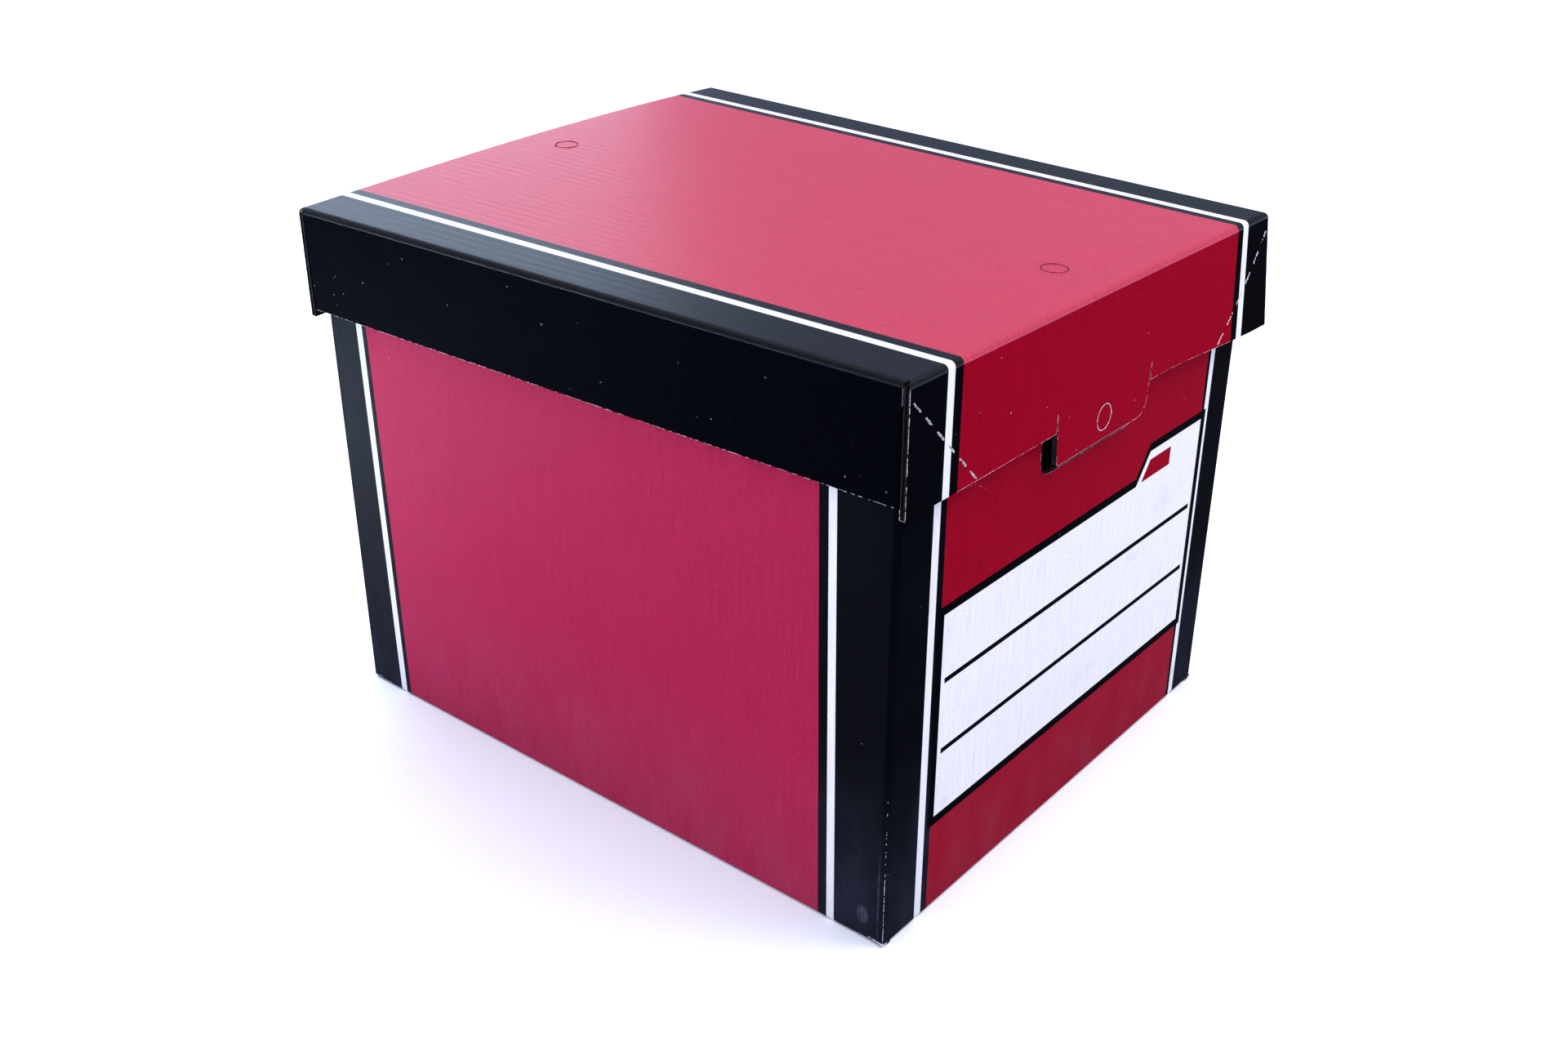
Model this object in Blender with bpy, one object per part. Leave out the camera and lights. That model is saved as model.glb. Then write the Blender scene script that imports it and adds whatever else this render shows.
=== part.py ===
"""A lidded archive box of corrugated board, folded up with its lid on.

The label end faces -Y, the long sides face -X and +X, and the origin is the centre of the base.
Each panel is drawn flat as a blank with its printed face at local z = 0, is trimmed to its own
half of every right-angle fold, and is then stood in its place. Local x runs along a panel, local
y up it, and local z out of its printed face.
"""

import math

import bmesh
import bpy
from mathutils import Vector

# Driving dimensions, in metres
body_width = 0.332
body_length = 0.402
overall_height = 0.303
board = 0.003
side_flap_depth = 0.0582
end_flap_depth = 0.063

# Folds and the gaps between pieces
seam = 0.0003
fold_radius = 0.0028
facets_in_a_fold = 3
weld = 0.000001

# How loosely the lid sits on the body
lid_side_clearance = 0.003
lid_end_clearance = 0.0007

# Lock tabs, each cut from a lid end flap between two slits
tab_width = 0.094
tab_length = 0.028
tab_taper = 0.0024
tab_slit_height = 0.010
tab_slit_width = 0.0006
tab_square_corner = 0.0012
tab_round_corner = 0.009
groove_sides = 16

# Hand holes: a straight top edge just under the tab's crease, and round lower corners
hand_hole_height = 0.033
hand_hole_below_crease = 0.0025
hand_hole_side_clearance = 0.001
hand_hole_round_corner = 0.009
hand_hole_top_corner = 0.001
lining_hole_margin = 0.0015

# Tie holes, each still closed by its push-out disc
tie_hole_diameter = 0.014
tie_hole_from_end = 0.035
tie_hole_above_tab_foot = 0.012
disc_sides = 24

# The perforated mitre creases of the lid end flaps
mitre_start_below_top = 0.007
mitre_dashes = 6
mitre_dash_length = 0.0076
mitre_dash_width = 0.0006
mitre_edge_margin = 0.004

# Corner tabs of the lid, glued behind the end flaps
corner_tab_inset = 0.003
corner_tab_tip_radius = 0.003

# The glued seam of the body, inside the rear right corner
glue_tab_width = 0.035
glue_tab_taper = 0.012
glue_tab_end_margin = 0.010
raw_edge_setback = 0.0005

# The inner wall that doubles each end
lining_side_clearance = 0.0008

# The bottom: two long flaps that hook together, and two end flaps that lie on them
corner_notch = 0.018
corner_notch_rise = 0.002
end_bottom_inset = 0.006
end_bottom_depth = 0.130
end_bottom_flat_start = 0.004
end_bottom_step_margin = 0.001
nose_reach = 0.030
nose_from_centre = 0.014
throat_reach = 0.008
throat_from_centre = 0.030
hook_radius = 0.005
glue_corner_clearance = 0.001
glue_corner_radius = 0.008
glue_corner_tip_radius = 0.0015

# Sizes worked out from those above
lid_width = body_width + 2 * (board + lid_side_clearance)
lid_length = body_length + 2 * (2 * board + seam + lid_end_clearance)
body_height = overall_height - board - seam
crease_height = overall_height - end_flap_depth + tab_slit_height
hand_hole_top = crease_height - hand_hole_below_crease
hand_hole_width = tab_width + 2 * hand_hole_side_clearance
tab_slot_width = tab_width + 2 * tab_slit_width
upper_layer = board + seam
lining_foot = upper_layer + board + seam
bottom_flap_length = body_length - 2 * corner_notch
side_flap_length = lid_length - 2 * (board + seam)
glue_fold_half_width = body_width / 2 - board - seam
lining_half_width = glue_fold_half_width - board - lining_side_clearance

# Directions in a panel's own frame
right = Vector((1, 0, 0))
left = Vector((-1, 0, 0))
up = Vector((0, 1, 0))
down = Vector((0, -1, 0))
front = Vector((0, 0, 1))

quarter = math.radians(90)
half_turn = math.radians(180)

# How a panel is turned to face each way
face_label_end = (quarter, 0, 0)
face_rear_end = (quarter, 0, half_turn)
face_left = (quarter, 0, -quarter)
face_right = (quarter, 0, quarter)
face_down = (half_turn, 0, 0)
face_down_turned = (half_turn, 0, half_turn)
face_up = (0, 0, 0)

# Colours: crimson and black print on the white outer liner, and a plain brown inner liner
crimson = (0.36, 0.012, 0.045)
deep_crimson = (0.27, 0.006, 0.022)
black = (0.012, 0.013, 0.022)
white = (0.72, 0.72, 0.78)
kraft = (0.42, 0.28, 0.17)
coated = 0.38
plain = 0.85


def clear_scene():
    for obj in list(bpy.data.objects):
        bpy.data.objects.remove(obj, do_unlink=True)


def new_collection(name):
    collection = bpy.data.collections.new(name)
    bpy.context.scene.collection.children.link(collection)
    return collection


def new_group(name, location):
    """An empty that carries the pieces of one rigid group."""
    empty = bpy.data.objects.new(name, None)
    empty.location = location
    parts.objects.link(empty)
    return empty


def arc(centre, radius, start, end, steps):
    angles = [start + (end - start) * step / steps for step in range(steps + 1)]
    return [
        (centre[0] + radius * math.cos(angle), centre[1] + radius * math.sin(angle))
        for angle in angles
    ]


def rounded(corners, steps=5):
    """The outline through corners given as (x, y, radius), with each corner filleted."""
    points = []
    for index, (x, y, radius) in enumerate(corners):
        here = Vector((x, y))
        if not radius:
            points.append((x, y))
            continue
        before = (Vector(corners[index - 1][:2]) - here).normalized()
        after = (Vector(corners[(index + 1) % len(corners)][:2]) - here).normalized()
        half_angle = before.angle(after) / 2
        centre = here + (before + after).normalized() * radius / math.sin(half_angle)
        start = here + before * radius / math.tan(half_angle) - centre
        turn = (after * radius / math.tan(half_angle) + here - centre).angle_signed(start)
        first = math.atan2(start.y, start.x)
        points += arc(centre, radius, first, first + turn, steps)
    return points


def blank(outline, holes=(), face=0):
    """A flat sheet of board, cut to an outline with holes, its printed face at local z = face."""
    curve = bpy.data.curves.new("blank", "CURVE")
    curve.dimensions = "2D"
    curve.fill_mode = "BOTH"
    curve.extrude = board / 2
    for loop in (outline, *holes):
        spline = curve.splines.new("POLY")
        spline.points.add(len(loop) - 1)
        for point, (x, y) in zip(spline.points, loop):
            point.co = (x, y, 0, 1)
        spline.use_cyclic_u = True
    sheet = as_bmesh(curve)
    bmesh.ops.translate(sheet, verts=sheet.verts, vec=front * (face - board / 2))
    return sheet


def as_bmesh(curve):
    """The filled curve as a closed mesh, with its loose caps welded on."""
    draft = bpy.data.objects.new("draft", curve)
    parts.objects.link(draft)
    graph = bpy.context.evaluated_depsgraph_get()
    mesh = bpy.data.meshes.new_from_object(draft.evaluated_get(graph))
    solid = bmesh.new()
    solid.from_mesh(mesh)
    bmesh.ops.remove_doubles(solid, verts=solid.verts, dist=weld)
    bmesh.ops.recalc_face_normals(solid, faces=solid.faces)
    bpy.data.objects.remove(draft)
    bpy.data.curves.remove(curve)
    bpy.data.meshes.remove(mesh)
    return solid


def trim(solid, point, normal):
    """Cuts away what lies beyond a plane, and closes the cut."""
    everything = solid.verts[:] + solid.edges[:] + solid.faces[:]
    cut = bmesh.ops.bisect_plane(
        solid, geom=everything, dist=weld, plane_co=point, plane_no=normal, clear_outer=True
    )
    rim = [piece for piece in cut["geom_cut"] if isinstance(piece, bmesh.types.BMEdge)]
    open_rim = [edge for edge in rim if len(edge.link_faces) == 1]
    bmesh.ops.edgeloop_fill(solid, edges=open_rim)


def round_over(solid, centre, outward, face, radius):
    """Rounds the edge between a printed face and a side, by flats that touch the round."""
    for step in range(1, facets_in_a_fold + 1):
        angle = quarter * step / (facets_in_a_fold + 1)
        normal = face * math.cos(angle) + outward * math.sin(angle)
        trim(solid, centre + normal * radius, normal)


def fold(solid, corner, outward, face=front):
    """Leaves this panel's half of a right-angle fold: a mitre inside and a round outside."""
    mitre = (outward - face).normalized()
    trim(solid, corner - mitre * seam / 2, mitre)
    round_over(solid, corner - (outward + face) * fold_radius, outward, face, fold_radius)


def place(name, solid, location, rotation, colour, roughness, parent):
    """Makes the piece an object of its own, with its own material."""
    bmesh.ops.recalc_face_normals(solid, faces=solid.faces)
    mesh = bpy.data.meshes.new(name)
    solid.to_mesh(mesh)
    solid.free()
    obj = bpy.data.objects.new(name, mesh)
    obj.location = location
    obj.rotation_euler = rotation
    obj.parent = parent
    material = bpy.data.materials.new(name)
    material.use_nodes = True
    shader = material.node_tree.nodes["Principled BSDF"]
    shader.inputs["Base Color"].default_value = (*colour, 1)
    shader.inputs["Roughness"].default_value = roughness
    shader.inputs["Metallic"].default_value = 0
    mesh.materials.append(material)
    parts.objects.link(obj)
    return obj


def disc(name, location, rotation, colour, parent, face=0):
    """The push-out disc that still fills a tie hole."""
    solid = bmesh.new()
    radius = tie_hole_diameter / 2 - seam
    bmesh.ops.create_cone(
        solid, cap_ends=True, segments=disc_sides, radius1=radius, radius2=radius, depth=board
    )
    bmesh.ops.translate(solid, verts=solid.verts, vec=front * (face - board / 2))
    return place(name, solid, location, rotation, colour, coated, parent)


def tie_hole(x, y):
    full_turn = 2 * half_turn
    return arc((x, y), tie_hole_diameter / 2, 0, full_turn, disc_sides)[:-1]


def hand_hole(margin, base):
    """The hand hole's outline, widened by a margin, in a panel whose foot stands at base."""
    side = hand_hole_width / 2 + margin
    top = hand_hole_top + margin - base
    foot = hand_hole_top - hand_hole_height - margin - base
    return rounded(
        [
            (-side, foot, hand_hole_round_corner),
            (side, foot, hand_hole_round_corner),
            (side, top, hand_hole_top_corner),
            (-side, top, hand_hole_top_corner),
        ]
    )


def make_end_panel(name, rotation, y, glued_side):
    """An end wall with its hand hole. One end folds to the glue tab instead of to a side."""
    reach_left = glue_fold_half_width if glued_side else body_width / 2
    reach_right = body_width / 2
    outline = [
        (-reach_left, 0),
        (reach_right, 0),
        (reach_right, body_height),
        (-reach_left, body_height),
    ]
    panel = blank(outline, [hand_hole(0, 0)])
    fold(panel, left * reach_left, left)
    fold(panel, right * reach_right, right)
    fold(panel, Vector(), down)
    rolled_top = up * (body_height - fold_radius) - front * fold_radius
    round_over(panel, rolled_top, up, front, fold_radius)
    place(name, panel, (0, y, 0), rotation, deep_crimson, coated, body_group)


def make_lining(name, rotation, y):
    """The inner wall of an end, rolled over from the top edge of the outer one."""
    height = body_height - lining_foot
    outline = [
        (-lining_half_width, 0),
        (lining_half_width, 0),
        (lining_half_width, height),
        (-lining_half_width, height),
    ]
    panel = blank(outline, [hand_hole(lining_hole_margin, lining_foot)])
    rolled_top = up * (height - fold_radius) - front * (board - fold_radius)
    round_over(panel, rolled_top, up, -front, fold_radius)
    place(name, panel, (0, y, lining_foot), rotation, white, plain, body_group)


def make_side_panel(name, rotation, x, glued_end):
    """A long side. Near each corner its foot is notched clear of the floor."""
    near = body_length / 2
    far = body_length / 2 - (raw_edge_setback if glued_end else 0)
    flap_end = bottom_flap_length / 2
    outline = [
        (-near, corner_notch_rise),
        (-flap_end, corner_notch_rise),
        (-flap_end, 0),
        (flap_end, 0),
        (flap_end, corner_notch_rise),
        (far, corner_notch_rise),
        (far, body_height),
        (-near, body_height),
    ]
    panel = blank(outline)
    fold(panel, left * near, left)
    if not glued_end:
        fold(panel, right * far, right)
    fold(panel, Vector(), down)
    place(name, panel, (x, 0, 0), rotation, crimson, coated, body_group)


def make_glue_tab():
    """The tab that closes the sleeve, glued inside the right side at the rear corner."""
    end = body_length / 2
    free = end - glue_tab_width
    foot = lining_foot + glue_tab_end_margin
    top = body_height - glue_tab_end_margin
    outline = [
        (free, foot + glue_tab_taper),
        (end, foot),
        (end, top),
        (free, top - glue_tab_taper),
    ]
    tab = blank(outline)
    fold(tab, right * end, right)
    place("sleeve_glue_tab", tab, (glue_fold_half_width, 0, 0), face_right, kraft, plain, body_group)


def hooked_edge():
    """The free edge of a long bottom flap: it hooks round the same edge of the other flap."""
    half = [
        (-nose_reach, -bottom_flap_length / 2, 0),
        (-nose_reach, -nose_from_centre, hook_radius),
        (-throat_reach, -throat_from_centre, hook_radius),
    ]
    middle = half + [(-x, -y, radius) for x, y, radius in reversed(half)]
    places = [Vector((x, y)) for x, y, _ in middle]
    runs = [(there - here).normalized() for here, there in zip(places, places[1:])]
    sides = [Vector((-run.y, run.x)) for run in (runs[0], *runs, runs[-1])]
    edge = []
    for (x, y, radius), before, after in zip(middle, sides, sides[1:]):
        inward = (before + after) / (1 + before.dot(after)) * seam
        edge.append((x + inward.x, y + inward.y, radius))
    return edge


def make_long_bottom_flap(name, rotation):
    half_length = bottom_flap_length / 2
    outline = [
        *hooked_edge(),
        (-body_width / 2, half_length, 0),
        (-body_width / 2, -half_length, 0),
    ]
    flap = blank(rounded(outline))
    fold(flap, left * body_width / 2, left)
    place(name, flap, (0, 0, 0), rotation, white, plain, body_group)


def make_end_bottom_flap(name, y, turn):
    """An end bottom flap: it leaves its fold at floor level and steps up onto the long flaps."""
    step_end = corner_notch - end_bottom_step_margin
    under = [(0, 0), (end_bottom_flat_start, 0), (step_end, upper_layer)]
    under.append((end_bottom_depth, upper_layer))
    over = [(s, z + board) for s, z in reversed(under)]
    half_width = body_width / 2 - end_bottom_inset
    curve = bpy.data.curves.new(name, "CURVE")
    curve.dimensions = "2D"
    curve.fill_mode = "BOTH"
    curve.extrude = half_width
    spline = curve.splines.new("POLY")
    spline.points.add(len(under) + len(over) - 1)
    for point, (s, z) in zip(spline.points, under + over):
        point.co = (s, z, 0, 1)
    spline.use_cyclic_u = True
    flap = as_bmesh(curve)
    fold(flap, Vector(), left, down)
    for side in (front, -front):
        trim(flap, right * corner_notch + side * half_width, (right + side).normalized())
    place(name, flap, (0, y, 0), (quarter, 0, turn), white, plain, body_group)


def make_glue_corner(name, rotation):
    """The corner of an end bottom flap beyond its crease, glued down on the long flap."""
    outer = body_width / 2 - board - glue_corner_clearance
    crease = body_width / 2 - end_bottom_inset + corner_notch + seam * math.sqrt(2)
    end = body_length / 2
    outline = [
        (-outer, end - (crease - outer), glue_corner_tip_radius),
        (-outer, end - end_bottom_depth, glue_corner_radius),
        (-(crease - end_bottom_depth), end - end_bottom_depth, glue_corner_tip_radius),
    ]
    corner = blank(rounded(outline))
    place(name, corner, (0, 0, upper_layer), rotation, kraft, plain, body_group)


def make_lid_top():
    x = lid_width / 2
    y = lid_length / 2
    hole = y - tie_hole_from_end
    outline = [(-x, -y), (x, -y), (x, y), (-x, y)]
    panel = blank(outline, [tie_hole(0, -hole), tie_hole(0, hole)])
    fold(panel, left * x, left)
    fold(panel, right * x, right)
    fold(panel, down * y, down)
    fold(panel, up * y, up)
    place("lid_top_panel", panel, (0, 0, 0), face_up, crimson, coated, lid_group)
    disc("lid_top_label_end_disc", (0, -hole, 0), face_up, crimson, lid_group)
    disc("lid_top_rear_end_disc", (0, hole, 0), face_up, crimson, lid_group)


def make_lid_side_flap(name, rotation, x):
    end = side_flap_length / 2
    outline = [(-end, -side_flap_depth), (end, -side_flap_depth), (end, 0), (-end, 0)]
    flap = blank(outline)
    fold(flap, Vector(), up)
    fold(flap, left * end, left)
    fold(flap, right * end, right)
    place(name, flap, (x, 0, 0), rotation, black, coated, lid_group)


def mitre_slits(side):
    """The cuts of one perforated mitre crease, from near the top corner to the flap's edge."""
    run = end_flap_depth - mitre_start_below_top - mitre_edge_margin
    along = Vector((-side, -1)).normalized()
    across = Vector((-along.y, along.x)) * mitre_dash_width / 2
    start = Vector((side * lid_width / 2, -mitre_start_below_top))
    start += along * mitre_edge_margin
    pitch = (run * math.sqrt(2) - mitre_dash_length) / (mitre_dashes - 1)
    slits = []
    for dash in range(mitre_dashes):
        near = start + along * pitch * dash
        far = near + along * mitre_dash_length
        slits.append([tuple(p) for p in (near - across, far - across, far + across, near + across)])
    return slits


def cut_hinge_groove(flap, name):
    """Hollows the slot's upper edge so that the tab's round top can turn in it."""
    cylinder = bmesh.new()
    radius = board / 2 + seam
    bmesh.ops.create_cone(
        cylinder,
        cap_ends=True,
        segments=groove_sides,
        radius1=radius,
        radius2=radius,
        depth=tab_slot_width,
    )
    mesh = bpy.data.meshes.new(name)
    cylinder.to_mesh(mesh)
    cylinder.free()
    cutter = bpy.data.objects.new(name, mesh)
    cutter.location = (0, tab_slit_height - end_flap_depth, -board / 2)
    cutter.rotation_euler = (0, quarter, 0)
    cutter.parent = flap
    cutter.hide_render = True
    cutter.display_type = "WIRE"
    cutters.objects.link(cutter)
    groove = flap.modifiers.new("hinge groove", "BOOLEAN")
    groove.operation = "DIFFERENCE"
    groove.solver = "EXACT"
    groove.object = cutter


def make_lid_end_flap(name, rotation, y):
    """A lid end flap, with a slot for the lock tab and a perforated mitre at each corner."""
    x = lid_width / 2
    slot = tab_slot_width / 2
    slot_top = tab_slit_height - end_flap_depth
    outline = [
        (-x, -end_flap_depth),
        (-slot, -end_flap_depth),
        (-slot, slot_top),
        (slot, slot_top),
        (slot, -end_flap_depth),
        (x, -end_flap_depth),
        (x, 0),
        (-x, 0),
    ]
    flap = blank(outline, mitre_slits(-1) + mitre_slits(1))
    fold(flap, Vector(), up)
    piece = place(name, flap, (0, y, 0), rotation, deep_crimson, coated, lid_group)
    cut_hinge_groove(piece, name + "_groove")


def make_corner_tab(name, rotation, y, side):
    """A corner tab: it folds round from a side flap and is glued behind the end flap."""
    x = side * lid_width / 2
    inset = mitre_start_below_top + corner_tab_inset * math.sqrt(2)
    outline = [
        (x, -side_flap_depth, 0),
        (x - side * (side_flap_depth - inset), -side_flap_depth, corner_tab_tip_radius),
        (x, -inset, 0),
    ]
    tab = blank(rounded(outline))
    fold(tab, right * x, right * side)
    place(name, tab, (0, y, 0), rotation, black, plain, lid_group)


def make_lock_tab(name, rotation, y):
    """A lock tab, hung on the crease between the tops of its two slits."""
    top = tab_width / 2
    foot = tab_width / 2 - tab_taper
    outline = [
        (-top, board / 2, 0),
        (-top, 0, 0),
        (-foot, -tab_length, tab_square_corner),
        (foot, -tab_length, tab_round_corner),
        (top, 0, 0),
        (top, board / 2, 0),
    ]
    hole_height = tie_hole_above_tab_foot - tab_length
    tab = blank(rounded(outline), [tie_hole(0, hole_height)], board / 2)
    for face in (front, -front):
        round_over(tab, Vector(), up, face, board / 2)
    crease = (0, y, crease_height - overall_height)
    piece = place(name, tab, crease, rotation, deep_crimson, coated, lid_group)
    disc(name + "_disc", (0, hole_height, 0), face_up, deep_crimson, piece, board / 2)


clear_scene()
parts = new_collection("archive_box")
cutters = new_collection("cutters")
body_group = new_group("body", (0, 0, 0))
lid_group = new_group("lid", (0, 0, overall_height))

body_end = body_length / 2
make_end_panel("label_end_panel", face_label_end, -body_end, False)
make_end_panel("rear_end_panel", face_rear_end, body_end, True)
lining_end = body_end - board - seam
make_lining("label_end_lining", face_label_end, -lining_end)
make_lining("rear_end_lining", face_rear_end, lining_end)
make_side_panel("left_side_panel", face_left, -body_width / 2, False)
make_side_panel("right_side_panel", face_right, body_width / 2, True)
make_glue_tab()
make_long_bottom_flap("left_bottom_flap", face_down)
make_long_bottom_flap("right_bottom_flap", face_down_turned)
make_end_bottom_flap("label_end_bottom_flap", -body_end, quarter)
make_end_bottom_flap("rear_end_bottom_flap", body_end, -quarter)
make_glue_corner("label_end_glue_corner", face_down)
make_glue_corner("rear_end_glue_corner", face_down_turned)

lid_end = lid_length / 2
make_lid_top()
make_lid_side_flap("lid_left_flap", face_left, -lid_width / 2)
make_lid_side_flap("lid_right_flap", face_right, lid_width / 2)
make_lid_end_flap("lid_label_end_flap", face_label_end, -lid_end)
make_lid_end_flap("lid_rear_end_flap", face_rear_end, lid_end)
tab_end = side_flap_length / 2
for where, turn, y in (("label", face_label_end, -tab_end), ("rear", face_rear_end, tab_end)):
    make_corner_tab(f"lid_{where}_end_first_corner_tab", turn, y, -1)
    make_corner_tab(f"lid_{where}_end_second_corner_tab", turn, y, 1)
hinge_end = lid_end - board / 2
make_lock_tab("label_end_lock_tab", face_label_end, -hinge_end)
make_lock_tab("rear_end_lock_tab", face_rear_end, hinge_end)
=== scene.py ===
"""A lidded archive box of printed corrugated board, standing closed on a pale floor."""

import math

import bmesh
import bpy
from mathutils import Euler, Matrix, Vector


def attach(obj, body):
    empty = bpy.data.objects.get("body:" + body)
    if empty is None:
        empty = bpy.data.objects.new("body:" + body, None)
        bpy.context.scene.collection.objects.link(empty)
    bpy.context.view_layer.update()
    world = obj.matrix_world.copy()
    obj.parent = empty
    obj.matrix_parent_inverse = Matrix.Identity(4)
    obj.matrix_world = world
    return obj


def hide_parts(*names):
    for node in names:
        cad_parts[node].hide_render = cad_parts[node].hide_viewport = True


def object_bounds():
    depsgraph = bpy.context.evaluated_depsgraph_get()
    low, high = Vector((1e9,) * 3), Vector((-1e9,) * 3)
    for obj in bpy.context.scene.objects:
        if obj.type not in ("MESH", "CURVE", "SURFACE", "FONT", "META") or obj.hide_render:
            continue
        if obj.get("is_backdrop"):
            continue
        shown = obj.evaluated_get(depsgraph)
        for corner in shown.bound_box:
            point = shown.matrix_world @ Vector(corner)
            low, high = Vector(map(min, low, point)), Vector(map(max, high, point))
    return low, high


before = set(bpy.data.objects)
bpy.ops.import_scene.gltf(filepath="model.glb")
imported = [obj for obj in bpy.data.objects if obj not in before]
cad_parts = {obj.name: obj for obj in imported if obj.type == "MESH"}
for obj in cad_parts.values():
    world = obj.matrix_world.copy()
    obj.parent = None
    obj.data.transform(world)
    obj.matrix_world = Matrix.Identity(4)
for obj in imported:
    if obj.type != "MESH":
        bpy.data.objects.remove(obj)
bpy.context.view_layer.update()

# The four walls
# One sheet of single-wall corrugated board, folded at the corners: an outer liner, white and
# printed, a fluted core and a brown inner liner. Its flutes stand upright.
board = 0.003
paper = 0.00038
core_paper = 0.00022
flute_pitch = 0.0064
seam = 0.0003
fold_radius = 0.0028
fold_lead = 0.0003
bend = fold_radius + fold_lead
body_width = 0.332
body_length = 0.402
half_width = body_width / 2
half_length = body_length / 2
overall_height = 0.303
body_height = overall_height - board - seam
corner_notch = 0.018
corner_notch_rise = 0.002
raw_edge_setback = 0.0005
end_bottom_inset = 0.006
glue_fold = half_width - board - seam
lining_play = 0.0008
lining_half = glue_fold - board - lining_play
quarter = math.radians(90)
half_turn = math.radians(180)
face_label_end = (quarter, 0, 0)
face_rear_end = (quarter, 0, half_turn)
face_left = (quarter, 0, -quarter)
face_right = (quarter, 0, quarter)
face_down = (half_turn, 0, 0)
face_down_turned = (half_turn, 0, half_turn)
face_up = (0, 0, 0)
both_ends = (("label", face_label_end, -1), ("rear", face_rear_end, 1))


class Network:
    """A tree of nodes, with short ways to feed a socket and to reckon with values."""

    def __init__(self, tree):
        self.nodes = tree.nodes
        self.links = tree.links

    def feed(self, socket, value):
        if isinstance(value, bpy.types.NodeSocket):
            self.links.new(value, socket)
        else:
            socket.default_value = value

    def sum(self, operation, a, b=0.0, c=0.0):
        node = self.nodes.new("ShaderNodeMath")
        node.operation = operation
        for socket, value in zip(node.inputs, (a, b, c)):
            self.feed(socket, value)
        return node.outputs[0]

    def plus(self, a, b):
        return self.sum("ADD", a, b)

    def minus(self, a, b):
        return self.sum("SUBTRACT", a, b)

    def times(self, a, b):
        return self.sum("MULTIPLY", a, b)

    def scaled(self, a, factor, more):
        return self.sum("MULTIPLY_ADD", a, factor, more)


class Finish(Network):
    """One material: its shader, the place on the piece, and the makers of its masks and inks."""

    def __init__(self, name, roughness, specular, ior=1.5):
        self.material = bpy.data.materials.new(name)
        self.material.use_nodes = True
        super().__init__(self.material.node_tree)
        self.shader = self.nodes["Principled BSDF"]
        self.shader.inputs["Roughness"].default_value = roughness
        self.shader.inputs["Specular IOR Level"].default_value = specular
        self.shader.inputs["IOR"].default_value = ior
        self.place = self.nodes.new("ShaderNodeTexCoord").outputs["Object"]
        axes = self.nodes.new("ShaderNodeSeparateXYZ")
        self.links.new(self.place, axes.inputs[0])
        self.x, self.y, self.z = axes.outputs

    def ramp(self, value, low, high, start=0.0, end=1.0):
        """Start below low, end above high, and a smooth change between them."""
        node = self.nodes.new("ShaderNodeMapRange")
        node.interpolation_type = "SMOOTHSTEP"
        for socket, given in zip(node.inputs, (value, low, high, start, end)):
            self.feed(socket, given)
        return node.outputs[0]

    def band(self, value, low, high, soft=0.00012):
        """One between low and high, and zero outside."""
        rise = self.ramp(self.minus(value, low), -soft, soft)
        fall = self.ramp(self.minus(value, high), -soft, soft, 1.0, 0.0)
        return self.times(rise, fall)

    def noise(self, size, detail, stretch=(1, 1, 1), rough=0.5):
        """Noise from zero to one, whose spots are about size across before the stretch."""
        spread = self.nodes.new("ShaderNodeMapping")
        spread.vector_type = "TEXTURE"
        self.links.new(self.place, spread.inputs["Vector"])
        spread.inputs["Scale"].default_value = [size * share for share in stretch]
        node = self.nodes.new("ShaderNodeTexNoise")
        node.inputs["Scale"].default_value = 1.0
        node.inputs["Detail"].default_value = detail
        node.inputs["Roughness"].default_value = rough
        self.links.new(spread.outputs[0], node.inputs["Vector"])
        return node.outputs["Fac"]

    def mix(self, below, above, mask):
        node = self.nodes.new("ShaderNodeMix")
        node.data_type = "RGBA"
        self.feed(node.inputs["Factor"], mask)
        for socket, colour in zip(node.inputs[6:8], (below, above)):
            self.feed(socket, colour if isinstance(colour, bpy.types.NodeSocket) else (*colour, 1))
        return node.outputs[2]

    def bump(self, height, distance):
        node = self.nodes.new("ShaderNodeBump")
        node.inputs["Distance"].default_value = distance
        self.links.new(height, node.inputs["Height"])
        self.links.new(node.outputs[0], self.shader.inputs["Normal"])

    def colour(self, colour):
        self.links.new(colour, self.shader.inputs["Base Color"])
        return self.material


def flute_ribs(finish, across):
    """The wash-boarding that the fluted core leaves in a liner, stronger here and fainter there."""
    turns = finish.times(getattr(finish, across), 2 * math.pi / flute_pitch)
    wander = finish.times(finish.noise(0.060, 1), 1.5)
    wave = finish.sum("SINE", finish.plus(turns, wander))
    strength = finish.ramp(finish.noise(0.045, 2), 0.30, 0.75, 0.25, 1.0)
    return finish.times(wave, strength)


def paper_finish(name, pale, dark, across=None, painted_shade_from=None):
    """Unprinted paper: flecked fibre, and the faint ribs of the flutes below it. Beyond the given distance
    from the middle, on both sides, it is painted near black: painted shade where the liner shows behind a
    fold."""
    sheet = Finish(name, 0.85, 0.2)
    cloud = sheet.noise(0.030, 3)
    fibre = sheet.noise(0.0012, 4, (1, 1, 1), 0.7)
    mask = sheet.scaled(fibre, 0.6, sheet.times(cloud, 0.4))
    height = fibre
    if across:
        ribs = flute_ribs(sheet, across)
        height = sheet.scaled(ribs, 1.2, fibre)
        mask = sheet.scaled(ribs, 0.06, mask)
    sheet.bump(height, 0.00008)
    tint = sheet.mix(dark, pale, sheet.ramp(mask, 0.3, 0.75))
    if painted_shade_from:
        painted_shade_mask = sheet.ramp(sheet.sum("ABSOLUTE", sheet.x), painted_shade_from, painted_shade_from + 0.001)
        tint = sheet.mix(tint, (0.002, 0.002, 0.004), painted_shade_mask)
    return sheet.colour(tint)


# The cut board's fluted core is painted dark grey-brown, far darker than kraft: painted shade deep in its
# flute channels.
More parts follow.
